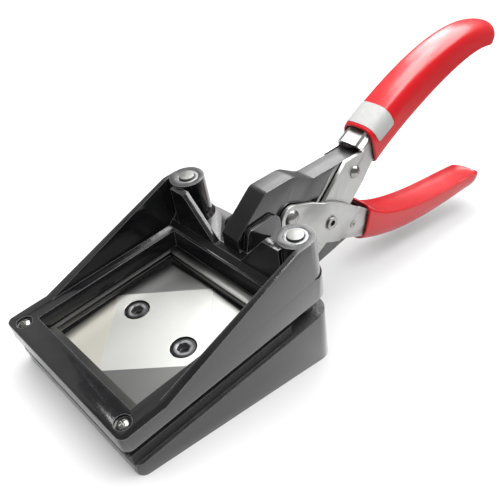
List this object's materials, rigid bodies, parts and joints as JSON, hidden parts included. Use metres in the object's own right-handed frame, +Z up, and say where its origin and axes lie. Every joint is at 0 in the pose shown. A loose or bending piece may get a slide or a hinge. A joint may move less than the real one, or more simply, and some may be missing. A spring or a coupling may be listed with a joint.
{
  "type": "id photo cutter",
  "caption": "Desk-standing hand cutter for square identity photos: black cast punch and die head on a wedge foot, worked by crossed plier levers with red vinyl grips.",
  "frame": {"origin": "on the table under the wedge foot, straight below the punch centre on the middle plane", "axes": "+Z up, +Y back towards the grips, +X to the right seen from the front"},
  "size_m": [0.072, 0.2413, 0.0979],
  "materials": {
    "black_paint": "gloss",
    "ground_steel": "ground",
    "black_oxide": "satin",
    "bright_steel": "satin",
    "spring_steel": "satin",
    "lever_steel": "satin",
    "red_vinyl": "soft gloss",
    "label_paper": "matt"
  },
  "bodies": {
    "base": {"lower_frame": "black_paint", "punch": "ground_steel", "punch_screws": "black_oxide", "guide_posts": "bright_steel", "spring_seats": "bright_steel", "return_springs": "spring_steel", "lower_jaw": "black_paint", "lower_jaw_screws": "black_oxide"},
    "head": {"upper_frame": "black_paint", "die_plate": "ground_steel", "die_front_screws": "bright_steel", "die_rear_screws": "bright_steel", "guide_bushes": "black_oxide", "upper_jaw": "black_paint", "upper_jaw_screws": "black_oxide"},
    "upper_lever": {"upper_handle": "lever_steel", "upper_grip": "red_vinyl", "size_label": "label_paper", "lower_front_rivet": "bright_steel", "upper_slide_pin": "bright_steel", "main_pivot": "bright_steel", "pivot_spacer": "black_oxide"},
    "lower_lever": {"lower_handle": "lever_steel", "lower_grip": "red_vinyl", "upper_front_rivet": "bright_steel", "lower_slide_pin": "bright_steel"}
  },
  "joints": [
    {"name": "squeeze", "type": "hinge", "parent": "base", "child": "upper_lever", "pos_m": [0, 0.06377, 0.01757], "axis": [-1, 0, 0], "range_deg": [0, 5], "stiffness_Nm_per_rad": 12},
    {"name": "lever_cross", "type": "hinge", "parent": "upper_lever", "child": "lower_lever", "pos_m": [0, 0.07967, 0.03386], "axis": [1, 0, 0], "range_deg": [0, 10]},
    {"name": "die_slide", "type": "slide", "parent": "base", "child": "head", "axis": [0, 0.2045, -0.9789], "range_m": [0, 0.00339], "deforming": ["return_springs"]}
  ],
  "couplings": [
    {"joint": "lever_cross", "follows": "squeeze", "ratio": 2},
    {"joint": "die_slide", "follows": "squeeze", "m_per_rad": 0.03886}
  ]
}
